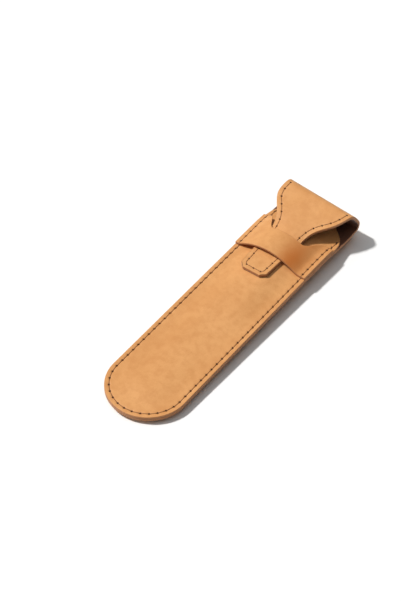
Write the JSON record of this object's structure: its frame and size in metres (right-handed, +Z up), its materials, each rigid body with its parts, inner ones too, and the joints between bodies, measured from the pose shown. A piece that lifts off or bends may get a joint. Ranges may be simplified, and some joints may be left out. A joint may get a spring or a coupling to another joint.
{
  "type": "fountain pen case",
  "caption": "Slim lined leather sleeve with a rounded end, a folded flap and a tongue that tucks under a sewn retaining strap.",
  "frame": {"origin": "middle of the case's width and length, on the surface that the flat back rests on", "axes": "+X across the case, +Y along the case from the rounded end to the fold, +Z up out of the front panel"},
  "size_m": [0.0421, 0.1664, 0.0153],
  "materials": {
    "tan_leather": "natural vegetable-tanned grain, satin",
    "dark_lining": "dark brown matte split leather",
    "brown_thread": "twisted brown sewing thread"
  },
  "bodies": {
    "sleeve": {"back_panel": "tan_leather", "back_lining": "dark_lining", "front_panel": "tan_leather", "retaining_strap": "tan_leather", "seam_thread_front": "brown_thread", "seam_thread_back": "brown_thread"},
    "fold_strip_1": {"fold_leather_1": "tan_leather", "fold_lining_1": "dark_lining"},
    "fold_strip_2": {"fold_leather_2": "tan_leather", "fold_lining_2": "dark_lining"},
    "fold_strip_3": {"fold_leather_3": "tan_leather", "fold_lining_3": "dark_lining"},
    "fold_strip_4": {"fold_leather_4": "tan_leather", "fold_lining_4": "dark_lining"},
    "flap": {"flap_leather": "tan_leather", "flap_lining": "dark_lining", "flap_thread_left": "brown_thread", "flap_thread_right": "brown_thread"},
    "tongue": {"tongue_leather": "tan_leather", "tongue_lining": "dark_lining", "tongue_thread": "brown_thread"}
  },
  "joints": [
    {"name": "fold_base", "type": "hinge", "parent": "sleeve", "child": "fold_strip_1", "pos_m": [0, 0.07994, 0.0011], "axis": [-1, 0, 0], "range_deg": [0, 30]},
    {"name": "flap_open", "type": "hinge", "parent": "fold_strip_1", "child": "fold_strip_2", "pos_m": [0, 0.08285, 0.00321], "axis": [-1, 0, 0], "range_deg": [0, 60]},
    {"name": "fold_lower_bend", "type": "hinge", "parent": "fold_strip_2", "child": "fold_strip_3", "pos_m": [0, 0.08247, 0.00679], "axis": [-1, 0, 0], "range_deg": [0, 30]},
    {"name": "fold_upper_bend", "type": "hinge", "parent": "fold_strip_3", "child": "fold_strip_4", "pos_m": [0, 0.07742, 0.01375], "axis": [-1, 0, 0], "range_deg": [0, 30]},
    {"name": "flap_root", "type": "hinge", "parent": "fold_strip_4", "child": "flap", "pos_m": [0, 0.07442, 0.01493], "axis": [-1, 0, 0], "range_deg": [0, 30]},
    {"name": "neck_bend", "type": "hinge", "parent": "flap", "child": "tongue", "pos_m": [0, 0.05174, 0.01052], "axis": [-1, 0, 0], "range_deg": [-9, 0], "deforming": ["tongue_leather", "tongue_lining", "tongue_thread"]}
  ],
  "couplings": [
    {"joint": "fold_base", "follows": "flap_open", "ratio": 0.5},
    {"joint": "fold_lower_bend", "follows": "flap_open", "ratio": 0.5},
    {"joint": "fold_upper_bend", "follows": "flap_open", "ratio": 0.5},
    {"joint": "flap_root", "follows": "flap_open", "ratio": 0.5},
    {"joint": "neck_bend", "follows": "flap_open", "ratio": -0.15}
  ]
}
